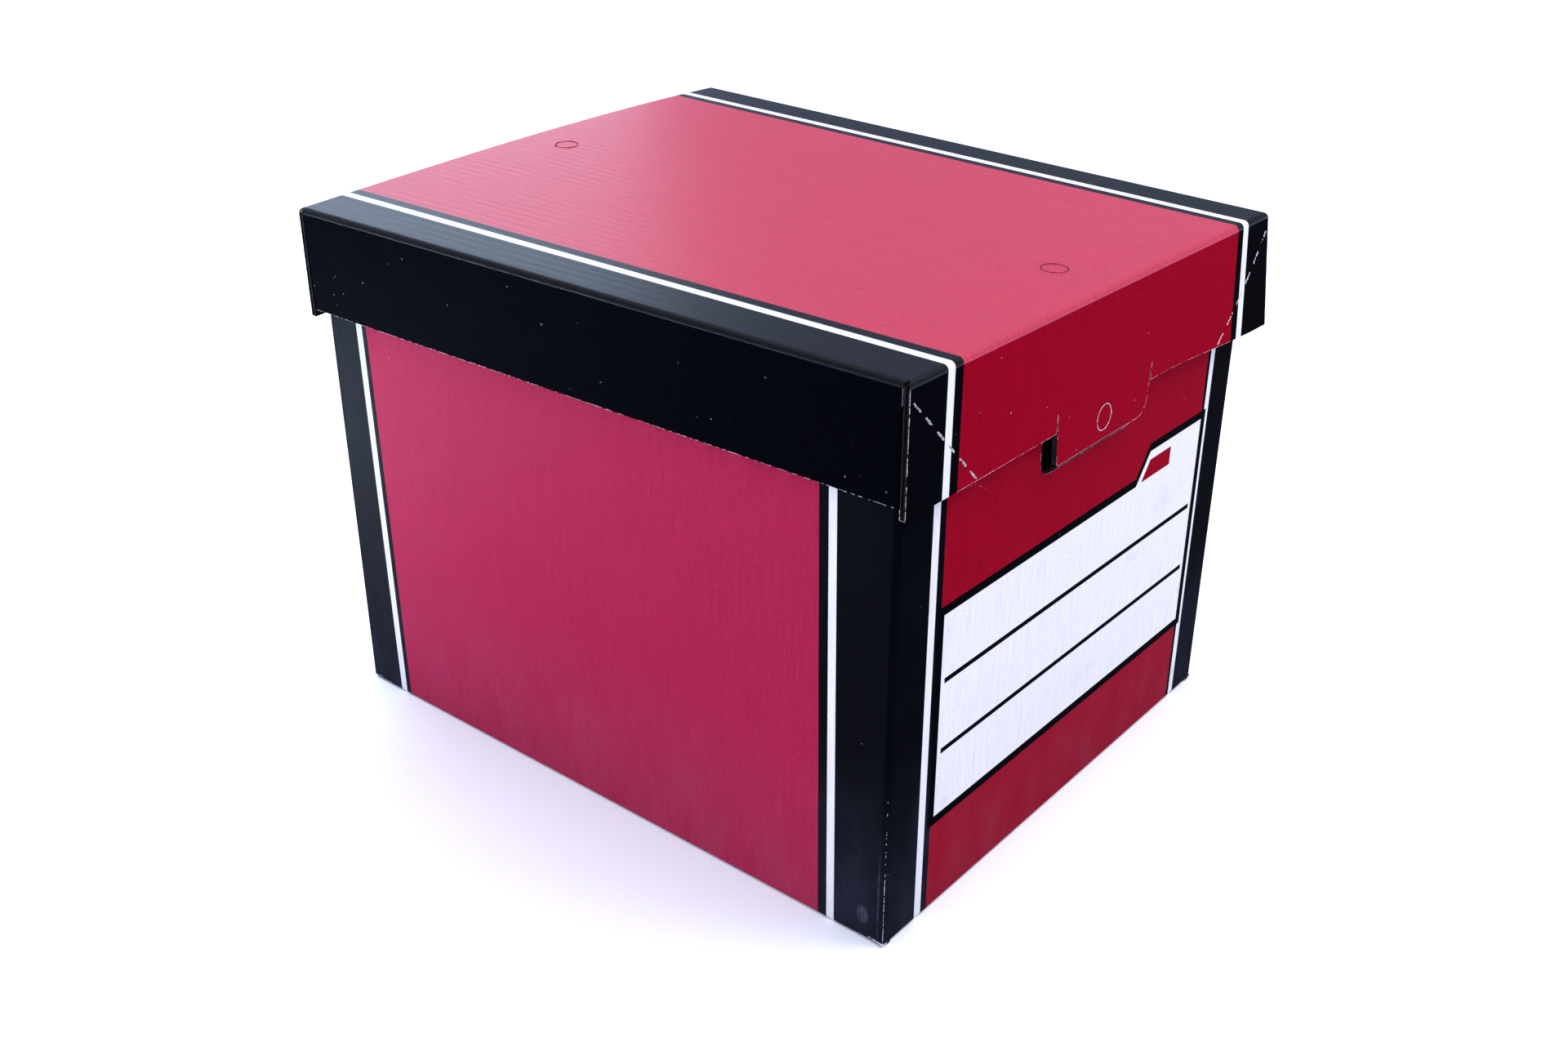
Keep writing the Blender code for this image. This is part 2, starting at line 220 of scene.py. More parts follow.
raw_edge = paper_finish("board_core_painted_dark_as_shade", (0.13, 0.095, 0.070), (0.040, 0.030, 0.022))
# Near black, for the cut edges of the lid's end flaps and lock tabs: partly ink, partly painted shade within
# the cut board.
inked_and_shaded_edge = paper_finish("inked_and_shaded_board_edge", (0.012, 0.011, 0.013), (0.003, 0.003, 0.004))
torn_fibre = paper_finish("torn_white_fibre", (0.72, 0.70, 0.72), (0.34, 0.30, 0.32))
torn_pink = paper_finish("torn_inked_fibre", (0.70, 0.38, 0.44), (0.36, 0.08, 0.12))
# Dark red fibre on the tie holes' torn rims and the lock tabs' cut edges: painted shade in the narrow gaps
# there.
shaded_torn_fibre = paper_finish("torn_fibre_painted_dark_as_shade", (0.12, 0.006, 0.020), (0.05, 0.003, 0.010))
brown = ((0.46, 0.31, 0.19), (0.34, 0.21, 0.12))
kraft_upright = paper_finish("brown_inside_liner", *brown, "z")
white_liner = paper_finish("unprinted_white_liner", (0.80, 0.80, 0.84), (0.62, 0.61, 0.64), "x")

# One crimson ink in three copies, one for each way a face stands: this brighter one on the long sides, a
# deeper one on the ends, where the shade falls, and a brighter, pinker one on the lid's top below. The
# differences between them are painted light and shade.
crimson_lit_on_sides = (0.305, 0.012, 0.048)
crimson_shaded_on_ends = (0.235, 0.0012, 0.011)
black = (0.0009, 0.0011, 0.0022)
white = (0.69, 0.67, 0.68)


def printed(name, across, inks, ior, roughness=0.45):
    """Coated print on the white liner. Inks gives its colour at each place."""
    face = Finish(name, roughness, 0.5, ior)
    ribs = flute_ribs(face, across)
    mottle = face.noise(0.0010, 3, (1, 1, 1), 0.7)
    streaks = face.noise(0.0013, 3, [1 if axis == across else 22 for axis in "xyz"], 0.65)
    tone = face.scaled(ribs, 0.014, 0.96)
    tone = face.scaled(face.minus(mottle, 0.5), 0.75, tone)
    tone = face.scaled(face.minus(streaks, 0.5), 0.40, tone)
    specks = face.ramp(face.noise(0.0018, 0), 0.90, 0.92, 0.0, 0.45)
    toned = face.nodes.new("ShaderNodeVectorMath")
    toned.operation = "SCALE"
    face.links.new(face.mix(inks(face), (0.60, 0.50, 0.55), specks), toned.inputs[0])
    face.links.new(tone, toned.inputs["Scale"])
    height = face.scaled(mottle, 4.0, ribs)
    face.bump(face.scaled(streaks, 3.0, height), 0.000025)
    return face.colour(toned.outputs[0])


def corner_inks(finish, along, red, low, high, lean=0.0):
    """Red between a black line, a white stripe and a black corner on each side.
    Low and high are the stripes' (start, end, black line's end), measured along the wall."""
    place = getattr(finish, along)
    if lean:
        place = finish.scaled(finish.z, lean, place)
    ink = finish.mix(black, red, finish.band(place, low[2], high[2]))
    for start, end, _ in (low, high):
        ink = finish.mix(ink, white, finish.band(place, min(start, end), max(start, end)))
    return ink


def dust_and_floor_sheen(finish, ink):
    """A pale bluish haze on the ink, in long upright streaks and strongest near the floor: dust worn into
    the ink, and with it a painted sheen.
    """
    height = finish.ramp(finish.z, 0.0, 0.12, 1.0, 0.06)
    cloud = finish.ramp(finish.noise(0.022, 4, (1, 1, 2)), 0.25, 0.80, 0.35, 1.0)
    dust_and_sheen_mask = finish.times(finish.times(height, cloud), 0.044)
    return finish.mix(ink, (0.34, 0.38, 0.62), dust_and_sheen_mask)


def scuff_and_glare(finish, ink, spot, size, strength):
    """A small pale bluish patch, with its middle at a spot given as (axis, place) twice. Most are worn ink;
    the one at the writing panel's lower left corner is a painted glare.
    """
    reach = 0.0
    for (axis, place), share in zip(spot, size):
        off = finish.sum("DIVIDE", finish.minus(getattr(finish, axis), place), share)
        reach = finish.scaled(off, off, reach)
    patch = finish.ramp(reach, 0.0, 1.0, 1.0, 0.0)
    grain = finish.ramp(finish.noise(0.0016, 3, (1, 1, 3)), 0.20, 0.70)
    mask = finish.times(finish.times(patch, grain), strength)
    return finish.mix(ink, (0.34, 0.38, 0.55), mask)


def side_inks(finish):
    low = (-0.1702, -0.1655, -0.1600)
    high = (0.1726, 0.1676, 0.1637)
    ink = dust_and_floor_sheen(finish, corner_inks(finish, "y", crimson_lit_on_sides, low, high, -0.013))
    ink = scuff_and_glare(finish, ink, (("y", -0.1880), ("z", 0.0150)), (0.0045, 0.0065), 0.13)
    return scuff_and_glare(finish, ink, (("y", -0.1990), ("z", 0.0300)), (0.0030, 0.0400), 0.10)


def end_inks(finish):
    low = (-0.1395, -0.1340, -0.1290)
    high = (0.1407, 0.1357, 0.1325)
    return dust_and_floor_sheen(finish, corner_inks(finish, "x", crimson_shaded_on_ends, low, high))


label_left = -0.1262
label_right = 0.1330
label_foot = 0.0575
label_shoulder = 0.1722
label_top = 0.1890
label_border = 0.0050
shoulder_end = 0.0590
shoulder_slant = 0.0135
rules = (0.1350, 0.0948)
rule_half = 0.0015
rule_inset = 0.0030
patch_low = 0.1728
patch_high = 0.1838
patch_start = 0.0050
patch_end = 0.0975


def label_end_inks(finish):
    """The end's inks, and on them the bordered writing panel with its two rules and bare patch."""
    ink = end_inks(finish)
    slope = shoulder_slant / (label_top - label_shoulder)
    rise = finish.minus(finish.z, label_shoulder)
    slanted = finish.scaled(rise, -slope, finish.x)

    def panel(grow):
        whole = finish.times(
            finish.band(finish.x, label_left - grow, label_right + grow),
            finish.band(finish.z, label_foot - grow, label_top + grow),
        )
        low_part = finish.ramp(rise, grow - 0.0001, grow + 0.0001, 1.0, 0.0)
        right_part = finish.ramp(slanted, shoulder_end - grow - 0.0001, shoulder_end - grow + 0.0001)
        return finish.times(whole, finish.sum("MAXIMUM", low_part, right_part))

    ink = finish.mix(ink, black, panel(label_border))
    ink = finish.mix(ink, white, panel(0.0))
    rule = 0.0
    for height in rules:
        line = finish.band(finish.z, height - rule_half, height + rule_half)
        rule = finish.plus(rule, line)
    inset = finish.band(finish.x, label_left + rule_inset, label_right - rule_inset)
    ink = finish.mix(ink, black, finish.times(rule, inset))
    start = shoulder_end + patch_start
    patch = finish.times(finish.band(slanted, start, 1.0), finish.band(finish.x, 0.0, patch_end))
    patch = finish.times(patch, finish.band(finish.z, patch_low, patch_high))
    ink = finish.mix(ink, crimson_shaded_on_ends, patch)
    # Smudges on the panel. The last patch, at its lower left corner, is a painted glare.
    for place, size, strength in (
        ((0.094, 0.151), (0.016, 0.012), 0.16), ((0.066, 0.127), (0.010, 0.004), 0.22),
        ((0.020, 0.073), (0.022, 0.005), 0.12), ((-0.118, 0.062), (0.007, 0.005), 0.30),
    ):
        ink = scuff_and_glare(finish, ink, (("x", place[0]), ("z", place[1])), size, strength)
    return ink


side_print = printed("side_wall_print", "y", side_inks, 1.06)
end_print = printed("rear_end_print", "x", end_inks, 1.02)
label_end_print = printed("label_end_print", "x", label_end_inks, 1.02)


class Tree(Network):
    """A node tree that shapes a piece, with its named inputs and short ways to add its nodes."""

    def __init__(self, name, **inputs):
        self.tree = bpy.data.node_groups.new(name, "GeometryNodeTree")
        super().__init__(self.tree)
        for kind, titles in inputs.items():
            for title in titles.split(", "):
                self.tree.interface.new_socket(title, in_out="INPUT", socket_type="NodeSocket" + kind)
        self.tree.interface.new_socket("Piece", in_out="OUTPUT", socket_type="NodeSocketGeometry")
        self.given = self.nodes.new("NodeGroupInput").outputs
        self.position = self.node("GeometryNodeInputPosition")[0]

    def node(self, kind, inputs=(), **settings):
        made = self.nodes.new(kind)
        for name, value in settings.items():
            setattr(made, name, value)
        for socket, value in dict(inputs).items():
            self.feed(made.inputs[socket], value)
        return made.outputs

    def vector(self, x=0.0, y=0.0, z=0.0):
        return self.node("ShaderNodeCombineXYZ", {0: x, 1: y, 2: z})[0]

    def axes(self, vector):
        return self.node("ShaderNodeSeparateXYZ", {0: vector})

    def join(self, *parts):
        joined = self.nodes.new("GeometryNodeJoinGeometry")
        for part in reversed(parts):
            self.links.new(part, joined.inputs[0])
        return joined.outputs[0]

    def compare(self, a, b, operation):
        return self.node("FunctionNodeCompare", {"A": a, "B": b}, operation=operation)[0]

    def both(self, a, b):
        return self.node("FunctionNodeBooleanMath", {0: a, 1: b})[0]

    def finish(self, geometry, *coats):
        """Ends the tree: realizes the instances, then sets each (material, selection) in turn."""
        shown = self.node("GeometryNodeRealizeInstances", {"Geometry": geometry})[0]
        for material, chosen in coats:
            shown = self.node(
                "GeometryNodeSetMaterial",
                {"Geometry": shown, "Selection": chosen, "Material": material},
            )[0]
        result = self.nodes.new("NodeGroupOutput")
        self.links.new(shown, result.inputs[0])
        return self.tree


def corrugated_board_tree():
    """Turns a flat blank into board: two liners, and the fluted core between them."""
    tree = Tree(
        "corrugated_board",
        Geometry="Blank",
        Float="Board, Paper, Core Paper, Flute Pitch",
        Vector="Across Flutes, Size, Centre",
        Material="Front, Back, Cut Liner, Raw Edge",
    )
    given = tree.given

    def thick(sheet, depth):
        """A closed slab that stands on the sheet."""
        raised = tree.node(
            "GeometryNodeExtrudeMesh",
            {"Mesh": sheet, "Offset": tree.vector(z=1.0), "Offset Scale": depth, "Individual": False},
        )[0]
        under = tree.node("GeometryNodeFlipFaces", {"Mesh": sheet})[0]
        return tree.node(
            "GeometryNodeMergeByDistance", {"Geometry": tree.join(raised, under), "Distance": 1e-6}
        )[0]

    def lowered(sheet, depth):
        drop = tree.vector(z=tree.times(depth, -1.0))
        return tree.node("GeometryNodeTransform", {"Geometry": sheet, "Translation": drop})[0]

    outer = thick(lowered(given["Blank"], given["Paper"]), given["Paper"])
    inner = thick(lowered(given["Blank"], given["Board"]), given["Paper"])

    size = tree.axes(given["Size"])
    across = tree.axes(given["Across Flutes"])
    samples = tree.sum("DIVIDE", 8.0, given["Flute Pitch"])
    rows = [
        tree.scaled(side, tree.scaled(turned, samples, 30.0), 2.0)
        for side, turned in zip(size[:2], across[:2])
    ]
    grid = tree.node(
        "GeometryNodeMeshGrid",
        {"Size X": size[0], "Size Y": size[1], "Vertices X": rows[0], "Vertices Y": rows[1]},
    )[0]
    grid = tree.node("GeometryNodeTransform", {"Geometry": grid, "Translation": given["Centre"]})[0]
    along = tree.node(
        "ShaderNodeVectorMath", {0: tree.position, 1: given["Across Flutes"]}, operation="DOT_PRODUCT"
    )[1]
    turns = tree.times(tree.sum("DIVIDE", along, given["Flute Pitch"]), 2 * math.pi)
    room = tree.scaled(given["Paper"], -2.0, given["Board"])
    swing = tree.times(tree.minus(room, given["Core Paper"]), 0.5)
    depth = tree.times(tree.plus(given["Board"], given["Core Paper"]), 0.5)
    lift = tree.minus(tree.times(tree.sum("SINE", turns), swing), depth)
    wave = tree.node("GeometryNodeSetPosition", {"Geometry": grid, "Offset": tree.vector(z=lift)})[0]
    core = tree.node(
        "GeometryNodeMeshBoolean",
        {"Mesh 2": thick(wave, given["Core Paper"])},
        operation="INTERSECT",
        solver="EXACT",
    )
    prism = thick(lowered(given["Blank"], given["Board"]), given["Board"])
    tree.links.new(prism, core[0].node.inputs["Mesh 2"])

    facing = tree.axes(tree.node("GeometryNodeInputNormal")[0])[2]
    height = tree.axes(tree.position)[2]
    outer_foot = tree.times(given["Paper"], -1.05)
    near_front = tree.compare(height, tree.times(given["Paper"], -0.25), "GREATER_THAN")
    back_limit = tree.scaled(given["Paper"], 0.25, tree.times(given["Board"], -1.0))
    near_back = tree.compare(height, back_limit, "LESS_THAN")
    return tree.finish(
        tree.join(core[0], inner, outer),
        (given["Raw Edge"], True),
        (given["Cut Liner"], tree.compare(height, outer_foot, "GREATER_THAN")),
        (given["Front"], tree.both(near_front, tree.compare(facing, 0.9, "GREATER_THAN"))),
        (given["Back"], tree.both(near_back, tree.compare(facing, -0.9, "LESS_THAN"))),
    )


board_tree = corrugated_board_tree()


def put_in_scene(name, data):
    made = bpy.data.objects.new(name, data)
    bpy.context.scene.collection.objects.link(made)
    return made


def made_plain(draft):
    """The plain mesh of what a draft's modifier or curve makes. The draft is removed."""
    graph = bpy.context.evaluated_depsgraph_get()
    mesh = bpy.data.meshes.new_from_object(draft.evaluated_get(graph), depsgraph=graph)
    draft.modifiers.clear()
    bpy.data.objects.remove(draft)
    return mesh


def dressed(mesh, tree, **settings):
    """The mesh that a tree makes of this one, with the tree's named inputs set."""
    draft = put_in_scene("draft", mesh)
    modifier = draft.modifiers.new("made", "NODES")
    modifier.node_group = tree
    wanted = {name.replace("_", " ").title(): value for name, value in settings.items()}
    for item in tree.interface.items_tree:
        if item.in_out == "INPUT" and item.name in wanted:
            modifier[item.identifier] = wanted[item.name]
    made = made_plain(draft)
    bpy.data.meshes.remove(mesh)
    return made


def crease_across(sheet, point, across):
    """Gives a sheet edges where the plane through a point crosses it, so that it can bend."""
    everything = sheet.verts[:] + sheet.edges[:] + sheet.faces[:]
    bmesh.ops.bisect_plane(sheet, geom=everything, dist=1e-7, plane_co=point, plane_no=across)


def cut_blank(outline, holes=(), creases=()):
    """A flat sheet facing up, cut to an outline with holes, with edges where it will bend.
    Each crease is a point on it and the direction across it."""
    curve = bpy.data.curves.new("blank", "CURVE")
    curve.dimensions = "2D"
    curve.fill_mode = "FRONT"
    for loop in (outline, *holes):
        spline = curve.splines.new("POLY")
        spline.points.add(len(loop) - 1)
        for point, (x, y) in zip(spline.points, loop):
            point.co = (x, y, 0, 1)
        spline.use_cyclic_u = True
    mesh = made_plain(put_in_scene("draft", curve))
    bpy.data.curves.remove(curve)
    sheet = bmesh.new()
    sheet.from_mesh(mesh)
    bmesh.ops.remove_doubles(sheet, verts=sheet.verts, dist=1e-6)
    for point, across in creases:
        crease_across(sheet, (*point, 0), (*across, 0))
    bmesh.ops.recalc_face_normals(sheet, faces=sheet.faces)
    if sum(face.normal.z for face in sheet.faces) < 0:
        bmesh.ops.reverse_faces(sheet, faces=sheet.faces)
    sheet.to_mesh(mesh)
    sheet.free()
    return mesh


def stand(turn, place):
    """Where a panel stands: its own x runs along it, y up it, and z out of its outer face."""
    return Matrix.Translation(place) @ Euler(turn).to_matrix().to_4x4()


def board_panel(
    outline, holes, place, front, back, upright=True, creases=(), shaped=None, edge=(torn_fibre, raw_edge)
):
    """One panel of board in its place. Shaped moves its points while it still lies flat, and
    edge gives the looks of the cut liner and of the cut core."""
    xs, ys = zip(*outline)
    sizes = {
        "across_flutes": (1.0, 0.0, 0.0) if upright else (0.0, 1.0, 0.0),
        "size": (max(xs) - min(xs), max(ys) - min(ys), 0.0),
        "centre": ((min(xs) + max(xs)) / 2, (min(ys) + max(ys)) / 2, 0.0),
    }
    sizes |= {"board": board, "paper": paper, "core_paper": core_paper, "flute_pitch": flute_pitch}
    coats = {"front": front, "back": back, "cut_liner": edge[0], "raw_edge": edge[1]}
    mesh = dressed(cut_blank(outline, holes, creases), board_tree, **sizes, **coats)
    if shaped:
        for vertex in mesh.vertices:
            vertex.co = shaped(vertex.co)
    mesh.transform(place)
    return mesh


def arc(centre, radius, start, end, steps=6):
    angles = [start + (end - start) * step / steps for step in range(steps + 1)]
    return [(centre[0] + radius * math.cos(a), centre[1] + radius * math.sin(a)) for a in angles]


def rounded(corners):
    """The outline through corners given as (x, y, radius), with each corner filleted."""
    points = []
    for index, (x, y, radius) in enumerate(corners):
        here = Vector((x, y))
        if not radius:
            points.append((x, y))
            continue
        before = (Vector(corners[index - 1][:2]) - here).normalized()
        after = (Vector(corners[(index + 1) % len(corners)][:2]) - here).normalized()
        half_angle = before.angle(after) / 2
        centre = here + (before + after).normalized() * radius / math.sin(half_angle)
        start = here + before * radius / math.tan(half_angle) - centre
        turn = (after * radius / math.tan(half_angle) + here - centre).angle_signed(start)
        first = math.atan2(start.y, start.x)
        points += arc(centre, radius, first, first + turn)
    return points


def beside(line, gap):
    """The line that runs to the left of this one, at a gap."""
    line = [Vector(point) for point in line]
    runs = [(b - a).normalized() for a, b in zip(line, line[1:])]
    sides = [Vector((-run.y, run.x)) for run in (runs[0], *runs, runs[-1])]
    return [
        point + (before + after) / (1 + before.dot(after)) * gap
        for point, before, after in zip(line, sides, sides[1:])
    ]


def bent_strip(profile, axis, reaches, front, back, thickness=paper, cut=torn_fibre, side=-1):
    """Liner bent round a fold that runs along an axis. The profile is its outer line in the two
    other axes, turning left, and reaches gives how far it runs at each point of that line. It is
    drawn for the label end or the left, and turned half round for the other side."""
    if not isinstance(reaches, list):
        reaches = [reaches] * len(profile)
    others = [other for other in (0, 1, 2) if other != axis]
    strip = bmesh.new()

    def corner(point, reach):
        place = Vector()
        place[axis] = reach
        place[others[0]], place[others[1]] = point
        return strip.verts.new(place)

    rings = [
        [corner(out, near), corner(out, far), corner(into, far), corner(into, near)]
        for out, into, (near, far) in zip(profile, beside(profile, thickness), reaches)
    ]
    for here, there in zip(rings, rings[1:]):
        for edge, coat in enumerate((0, 2, 1, 2)):
            after = (edge + 1) % 4
            strip.faces.new((here[edge], here[after], there[after], there[edge])).material_index = coat
    for ring in (rings[0], rings[-1]):
        strip.faces.new(ring).material_index = 2
    bmesh.ops.recalc_face_normals(strip, faces=strip.faces)
    mesh = bpy.data.meshes.new("strip")
    strip.to_mesh(mesh)
    strip.free()
    for material in (front, back, cut):
        mesh.materials.append(material)
    if side > 0:
        mesh.transform(Matrix.Rotation(half_turn, 4, "Z"))
    return mesh


def round_fold(centre, first):
    """The outer line of a right-angle fold, turning left, with a short straight lead each way."""
    line = arc(centre, fold_radius, first, first + quarter)
    along = Vector((math.sin(first), -math.cos(first))) * fold_lead
    beyond = Vector((math.cos(first), math.sin(first))) * fold_lead
    return [tuple(Vector(line[0]) + along), *line, tuple(Vector(line[-1]) - beyond)]


bend_spacing = (0.0172, 0.0208, 0.009)
sharp_from = math.radians(32)


def make_piece(name, meshes, body, node, shaped=None):
    """Joins meshes into one piece, which rides on a body and stands for its CAD node."""
    whole = bmesh.new()
    materials = []
    for mesh in meshes:
        start = len(whole.faces)
        whole.from_mesh(mesh)
        whole.faces.ensure_lookup_table()
        order = []
        for material in mesh.materials:
            if material not in materials:
                materials.append(material)
            order.append(materials.index(material))
        for face in whole.faces[start:]:
            face.material_index = order[face.material_index]
        bpy.data.meshes.remove(mesh)
    if shaped:
        for axis, spacing in enumerate(bend_spacing):
            places = [vertex.co[axis] for vertex in whole.verts]
            across = Vector([axis == other for other in (0, 1, 2)])
            line = math.floor(min(places) / spacing) + 1
            while line * spacing < max(places):
                crease_across(whole, across * line * spacing, across)
                line += 1
        for vertex in whole.verts:
            vertex.co = shaped(vertex.co)
    made = bpy.data.meshes.new(name)
    whole.to_mesh(made)
    whole.free()
    for material in materials:
        made.materials.append(material)
    made.shade_smooth()
    made.set_sharp_from_angle(angle=sharp_from)
    piece = put_in_scene(name, made)
    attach(piece, body)
    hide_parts(node)


def torn_edge_tree():
    """Turns lines into the fluff of torn paper: short, uneven tufts with gaps between them."""
    tree = Tree(
        "torn_edge",
        Geometry="Lines",
        Float="Step, Thin, Thick, Stray, Missing, Seed",
        Material="Fibre",
    )
    given = tree.given

    def noise(size, output):
        return tree.node(
            "ShaderNodeTexNoise",
            {"Vector": tree.position, "W": given["Seed"], "Scale": 1 / size, "Detail": 1.0},
            noise_dimensions="4D",
        )[output]

    line = tree.node("GeometryNodeMeshToCurve", {"Mesh": given["Lines"]})[0]
    line = tree.node("GeometryNodeResampleCurve", {"Curve": line, "Length": given["Step"]}, mode="LENGTH")[0]
    bits = tree.node("GeometryNodeCurveToMesh", {"Curve": line})[0]
    lost = tree.compare(noise(0.0022, 0), given["Missing"], "LESS_THAN")
    bits = tree.node("GeometryNodeDeleteGeometry", {"Geometry": bits, "Selection": lost}, domain="EDGE")[0]
    middle = (0.5, 0.5, 0.5)
    off = tree.node("ShaderNodeVectorMath", {0: noise(0.0011, 1), 1: middle}, operation="SUBTRACT")[0]
    astray = tree.node("ShaderNodeVectorMath", {0: off, "Scale": given["Stray"]}, operation="SCALE")[0]
    bits = tree.node("GeometryNodeSetPosition", {"Geometry": bits, "Offset": astray})[0]
    line = tree.node("GeometryNodeMeshToCurve", {"Mesh": bits})[0]
    girth = tree.node(
        "ShaderNodeMapRange",
        {0: noise(0.0009, 0), 1: 0.35, 2: 0.65, 3: given["Thin"], 4: given["Thick"]},
    )[0]
    ring = tree.node("GeometryNodeCurvePrimitiveCircle", {"Resolution": 5, "Radius": 1.0})[0]
    tufts = tree.node(
        "GeometryNodeCurveToMesh",
        {"Curve": line, "Profile Curve": ring, "Scale": girth, "Fill Caps": True},
    )[0]
    return tree.finish(tufts, (given["Fibre"], True))


torn_tree = torn_edge_tree()
tuft_step = 0.0007


def torn(lines, seed, place, missing, thick=0.00018, stray=0.0004, fibre=torn_fibre):
    """Torn fibre along lines, each a row of points. A closed line repeats its first."""
    points = []
    edges = []
    for line in lines:
        edges += [(len(points) + step, len(points) + step + 1) for step in range(len(line) - 1)]
        points += [(*point, 0)[:3] for point in line]
    mesh = bpy.data.meshes.new("lines")
    mesh.from_pydata(points, edges, [])
    mesh.transform(place)
    sizes = {"step": tuft_step, "thin": thick / 4, "thick": thick, "stray": stray}
    return dressed(mesh, torn_tree, missing=missing, seed=float(seed), fibre=fibre, **sizes)


hand_hole_half = 0.048
hand_hole_top = 0.2475
hand_hole_foot = 0.2145


def hand_hole(margin=0.0, base=0.0):
    side = hand_hole_half + margin
    top = hand_hole_top + margin - base
    foot = hand_hole_foot - margin - base
    return rounded([(-side, foot, 0.009), (side, foot, 0.009), (side, top, 0.001), (-side, top, 0.001)])


def closed(line):
    return [*line, line[0]]


foot_clear = 0.0006
lining_hole_margin = 0.0015
worn_depth = 0.29 * fold_radius


def end_wall(name, turn, side, left_reach, print_side, node, folds, seed):
    """An end wall with its hand hole, and the upright folds at its two corners."""
    tongue = half_width - end_bottom_inset
    low = foot_clear
    right = half_width - bend
    left = left_reach - bend
    outline = [
        (-left, low), (-tongue, low), (-tongue, bend), (tongue, bend), (tongue, low), (right, low),
        (right, body_height), (lining_half, body_height), (lining_half, body_height - bend),
        (-lining_half, body_height - bend), (-lining_half, body_height), (-left, body_height),
    ]
    if left <= tongue:
        outline = outline[3:]
        outline.insert(0, (-left, bend))
    place = stand(turn, (0, side * half_length, 0))
    meshes = [board_panel(outline, [hand_hole()], place, print_side, kraft_upright)]
    for centre, first in folds:
        reach = (corner_notch_rise, body_height)
        meshes.append(bent_strip(round_fold(centre, first), 2, reach, print_side, kraft_upright))
    meshes.append(torn([closed(hand_hole())], seed, place, 0.50, fibre=torn_pink))
    for x_side in (-1, 1):
        ridge = x_side * (half_width - worn_depth)
        for top, missing in ((0.012, 0.20), (0.045, 0.44), (0.090, 0.56)):
            worn = [(ridge, corner_notch_rise + 0.001, -worn_depth), (ridge, top, -worn_depth)]
            meshes.append(torn([worn], seed + x_side, place, missing, 0.00016, 0.0003))
        edge = x_side * half_width
        curl = [(edge, 0.0030, -0.009), (edge, 0.0022, -0.001)]
        curl += [(edge * 0.994, 0.0010, 0), (edge * 0.980, 0.0022, 0)]
        meshes.append(torn([curl], seed, place, 0.38, 0.00034, 0.0012))
        meshes.append(torn([curl[1:3]], seed + 3, place, 0.20, 0.00075, 0.0014))
    if side < 0:
        scratch = [(-0.1160, 0.2335), (-0.1060, 0.2325), (-0.0965, 0.2265)]
        meshes.append(torn([scratch], seed, place, 0.40, 0.00008, 0.0003, torn_pink))
    make_piece(name, meshes, "box_body", node)


corner_x = half_width - fold_radius
corner_y = half_length - fold_radius
glue_corner_x = glue_fold - fold_radius
folds = [((-corner_x, -corner_y), 2 * quarter), ((corner_x, -corner_y), 3 * quarter)]
end_wall("label_end_wall", face_label_end, -1, half_width, label_end_print, "label_end_panel", folds, 1)
folds = [((-corner_x, corner_y), quarter), ((glue_corner_x, corner_y), 0)]
end_wall("rear_end_wall", face_rear_end, 1, glue_fold, end_print, "rear_end_panel", folds, 2)


def side_wall(name, turn, x, near, far, node):
    """A long side. Near each corner its foot is notched clear of the floor."""
    flap_end = half_length - corner_notch
    outline = [
        (-near, corner_notch_rise), (-flap_end, corner_notch_rise), (-flap_end, bend),
        (flap_end, bend), (flap_end, corner_notch_rise), (far, corner_notch_rise),
        (far, body_height), (-near, body_height),
    ]
    place = stand(turn, (x, 0, 0))
    meshes = [board_panel(outline, [], place, side_print, kraft_upright)]
    make_piece(name, meshes, "box_body", node)


folded_end = half_length - bend
raw_end = half_length - raw_edge_setback
side_wall("left_side_wall", face_left, -half_width, folded_end, folded_end, "left_side_panel")
side_wall("right_side_wall", face_right, half_width, folded_end, raw_end, "right_side_panel")

# The glued seam
# The tab at the sheet's end, bent round the rear right corner and glued inside the side wall.
glue_tab_width = 0.035
glue_tab_taper = 0.012
glue_tab_end_margin = 0.010
lining_foot = 2 * (board + seam)
tab_free = half_length - glue_tab_width
tab_foot = lining_foot + glue_tab_end_margin
tab_top = body_height - glue_tab_end_margin
outline = [
    (tab_free, tab_foot + glue_tab_taper), (folded_end, tab_foot), (folded_end, tab_top),
    (tab_free, tab_top - glue_tab_taper),
]
glue_tab = board_panel(outline, [], stand(face_right, (glue_fold, 0, 0)), white_liner, kraft_upright)
make_piece("glued_seam_tab", [glue_tab], "box_body", "sleeve_glue_tab")

# The end linings
# Each end wall is doubled: the sheet rolls over its top edge and comes down inside, so that the
# white outer liner faces into the box. The lining's hand hole is a little wider than the wall's.
lining_height = body_height - lining_foot
lining_end = half_length - board - seam

for end, turn, side in both_ends:
    outline = [
        (-lining_half, 0), (lining_half, 0), (lining_half, lining_height - bend),
        (-lining_half, lining_height - bend),
    ]
    place = stand(turn, (0, side * lining_end, lining_foot))
    hole = hand_hole(lining_hole_margin, lining_foot)
    panel = board_panel(outline, [hole], place, kraft_upright, white_liner)
    crown = body_height - fold_radius
    outer_centre = -(half_length - fold_radius)
    inner_centre = -(lining_end - board + fold_radius)
    roll = [
        (inner_centre + fold_radius, crown - fold_lead),
        *arc((inner_centre, crown), fold_radius, 0, quarter),
        *arc((outer_centre, crown), fold_radius, quarter, 2 * quarter),
        (outer_centre - fold_radius, crown - fold_lead),
    ]
    strip = bent_strip(roll, 0, (-lining_half, lining_half), white_liner, kraft_upright, side=side)
    make_piece(f"{end}_end_inner_wall", [panel, strip], "box_body", f"{end}_end_lining")

